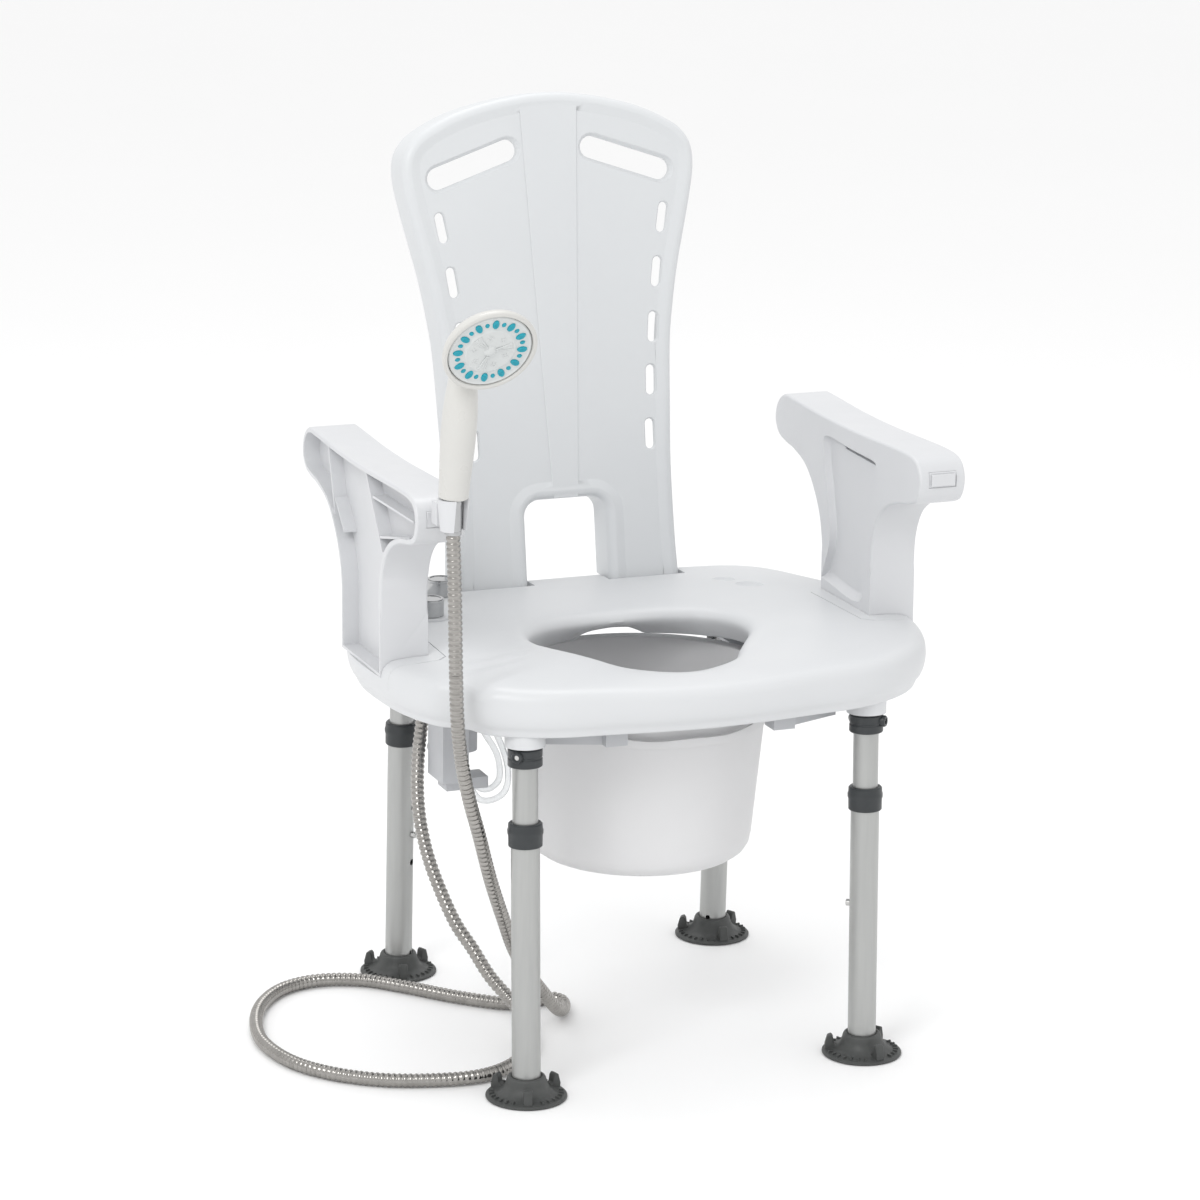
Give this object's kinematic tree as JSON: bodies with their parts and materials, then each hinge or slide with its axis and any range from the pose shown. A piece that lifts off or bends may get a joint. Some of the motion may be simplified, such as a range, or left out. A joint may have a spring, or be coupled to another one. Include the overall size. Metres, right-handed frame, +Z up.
{
  "type": "shower stool",
  "caption": "Height-adjustable shower and commode chair: moulded seat with a hole, plug-in back and arms, slide-out pail, suction feet and a hand shower on a hose.",
  "frame": {"origin": "on the floor, under the middle of the chair's bounding box without the hose", "axes": "+Z up, the sitter faces -Y, +X is the sitter's left"},
  "size_m": [0.6877, 0.5689, 0.931],
  "materials": {
    "shell_white": "satin moulded plastic",
    "panel_white": "satin moulded plastic",
    "arm_white": "satin moulded plastic",
    "holder_white": "satin moulded plastic",
    "anodised_tube": "satin anodised",
    "dark_plastic": "fine matt",
    "steel": "bright",
    "foot_rubber": "matt rubber",
    "pail_white": "satin moulded plastic",
    "rail_white": "satin",
    "chrome": "polished",
    "nozzle_grey": "satin",
    "clear_tube": "clear soft plastic",
    "handset_white": "glossy",
    "jet_teal": "soft rubber"
  },
  "bodies": {
    "frame": {"seat_shell": "shell_white", "leg_upper_tube_fl": "anodised_tube", "leg_upper_tube_fr": "anodised_tube", "leg_upper_tube_rl": "anodised_tube", "leg_upper_tube_rr": "anodised_tube", "leg_clip_fl": "dark_plastic", "leg_clip_fr": "dark_plastic", "leg_clip_rl": "dark_plastic", "leg_clip_rr": "dark_plastic", "leg_pin_fl": "steel", "leg_pin_fr": "steel", "leg_pin_rl": "steel", "leg_pin_rr": "steel", "pail_rail_left": "rail_white", "pail_rail_right": "rail_white", "rail_screws": "steel", "valve_body": "rail_white", "valve_plate": "rail_white", "bidet_nozzle": "nozzle_grey", "bidet_tube_a": "clear_tube", "bidet_tube_b": "clear_tube", "hose_nut_valve": "chrome", "hose_lower": "chrome"},
    "backrest": {"backrest_panel": "panel_white"},
    "arm_left": {"armrest_left": "arm_white", "arm_cap_left": "arm_white", "handset_holder": "holder_white", "hose_upper": "chrome"},
    "arm_right": {"armrest_right": "arm_white", "arm_cap_right": "arm_white", "accessory_cover": "holder_white"},
    "pail_body": {"pail": "pail_white"},
    "bail": {"pail_bail": "pail_white"},
    "knob_front_body": {"knob_front": "chrome"},
    "knob_rear_body": {"knob_rear": "chrome"},
    "handset": {"handset_body": "handset_white", "hose_nut_handset": "chrome"},
    "spray": {"spray_face": "handset_white", "spray_jets": "jet_teal"},
    "leg_fl": {"leg_lower_tube_fl": "anodised_tube", "leg_collar_fl": "dark_plastic", "foot_fl": "foot_rubber"},
    "button_fl": {"leg_button_fl": "steel"},
    "leg_fr": {"leg_lower_tube_fr": "anodised_tube", "leg_collar_fr": "dark_plastic", "foot_fr": "foot_rubber"},
    "button_fr": {"leg_button_fr": "steel"},
    "leg_rl": {"leg_lower_tube_rl": "anodised_tube", "leg_collar_rl": "dark_plastic", "foot_rl": "foot_rubber"},
    "button_rl": {"leg_button_rl": "steel"},
    "leg_rr": {"leg_lower_tube_rr": "anodised_tube", "leg_collar_rr": "dark_plastic", "foot_rr": "foot_rubber"},
    "button_rr": {"leg_button_rr": "steel"}
  },
  "joints": [
    {"name": "leg_fl_length", "type": "slide", "parent": "frame", "child": "leg_fl", "axis": [0, -0.0349, -0.9994], "range_m": [-0.031, 0.093], "deforming": ["leg_button_fl"]},
    {"name": "button_fl_press", "type": "slide", "parent": "frame", "child": "button_fl", "axis": [-0.7071, -0.7067, 0.0247], "range_m": [0, 0.0055], "stiffness_N_per_m": 1500, "springref_m": -0.002},
    {"name": "leg_fr_length", "type": "slide", "parent": "frame", "child": "leg_fr", "axis": [0, -0.0349, -0.9994], "range_m": [-0.031, 0.093], "deforming": ["leg_button_fr"]},
    {"name": "button_fr_press", "type": "slide", "parent": "frame", "child": "button_fr", "axis": [0.7071, -0.7067, 0.0247], "range_m": [0, 0.0055], "stiffness_N_per_m": 1500, "springref_m": -0.002},
    {"name": "leg_rl_length", "type": "slide", "parent": "frame", "child": "leg_rl", "axis": [0, 0.0349, -0.9994], "range_m": [-0.031, 0.093], "deforming": ["leg_button_rl"]},
    {"name": "button_rl_press", "type": "slide", "parent": "frame", "child": "button_rl", "axis": [-0.7071, 0.7067, 0.0247], "range_m": [0, 0.0055], "stiffness_N_per_m": 1500, "springref_m": -0.002},
    {"name": "leg_rr_length", "type": "slide", "parent": "frame", "child": "leg_rr", "axis": [0, 0.0349, -0.9994], "range_m": [-0.031, 0.093], "deforming": ["leg_button_rr"]},
    {"name": "button_rr_press", "type": "slide", "parent": "frame", "child": "button_rr", "axis": [0.7071, 0.7067, 0.0247], "range_m": [0, 0.0055], "stiffness_N_per_m": 1500, "springref_m": -0.002},
    {"name": "backrest_lift", "type": "slide", "parent": "frame", "child": "backrest", "axis": [0, 0, 1], "range_m": [0, 0.06]},
    {"name": "arm_left_lift", "type": "slide", "parent": "frame", "child": "arm_left", "axis": [0, 0, 1], "range_m": [0, 0.06]},
    {"name": "arm_right_lift", "type": "slide", "parent": "frame", "child": "arm_right", "axis": [0, 0, 1], "range_m": [0, 0.06]},
    {"name": "pail_slide", "type": "slide", "parent": "frame", "child": "pail_body", "axis": [0, 1, 0], "range_m": [0, 0.3]},
    {"name": "bail_swing", "type": "hinge", "parent": "pail_body", "child": "bail", "pos_m": [0, -0.03, 0.358], "axis": [-1, 0, 0], "range_deg": [0, 7]},
    {"name": "knob_front_turn", "type": "hinge", "parent": "frame", "child": "knob_front_body", "pos_m": [-0.19, 0.074, 0.43], "axis": [0, 0, -1], "range_deg": [0, 90]},
    {"name": "knob_rear_turn", "type": "hinge", "parent": "frame", "child": "knob_rear_body", "pos_m": [-0.153, 0.148, 0.43], "axis": [0, 0, -1], "range_deg": [0, 90]},
    {"name": "handset_lift", "type": "slide", "parent": "arm_left", "child": "handset", "axis": [0, 0, 1], "range_m": [0, 0.045]},
    {"name": "spray_turn", "type": "hinge", "parent": "handset", "child": "spray", "pos_m": [-0.251, -0.262, 0.767], "axis": [0, -0.8746, -0.4848], "continuous": true}
  ]
}
